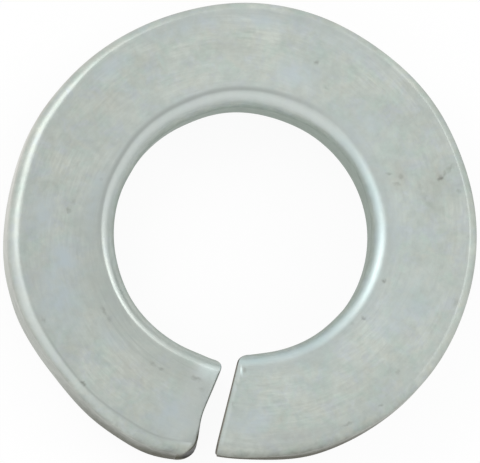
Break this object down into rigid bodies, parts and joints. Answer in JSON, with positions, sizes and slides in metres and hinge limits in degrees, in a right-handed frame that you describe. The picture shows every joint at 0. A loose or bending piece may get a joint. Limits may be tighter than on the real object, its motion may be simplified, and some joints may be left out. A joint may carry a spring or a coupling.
{
  "type": "spring lock washer",
  "caption": "Helical spring lock washer: one turn of flat steel wire bent on edge round a plain bore, its sheared ends parted by a narrow gap and offset in height.",
  "frame": {"origin": "on the bore's axis, level with the underside of the low end, at the bottom centre of the bounding box", "axes": "+Z along the bore's axis, towards the high end; the gap lies close to -Y, and the coil climbs clockwise seen from +Z"},
  "size_m": [0.012, 0.012, 0.0032],
  "materials": {
    "zinc_plating": "satin pale grey-green zinc plating over steel, with faint mottling and draw marks round the faces"
  },
  "bodies": {
    "root": {"spring_washer": "zinc_plating"}
  },
  "joints": []
}
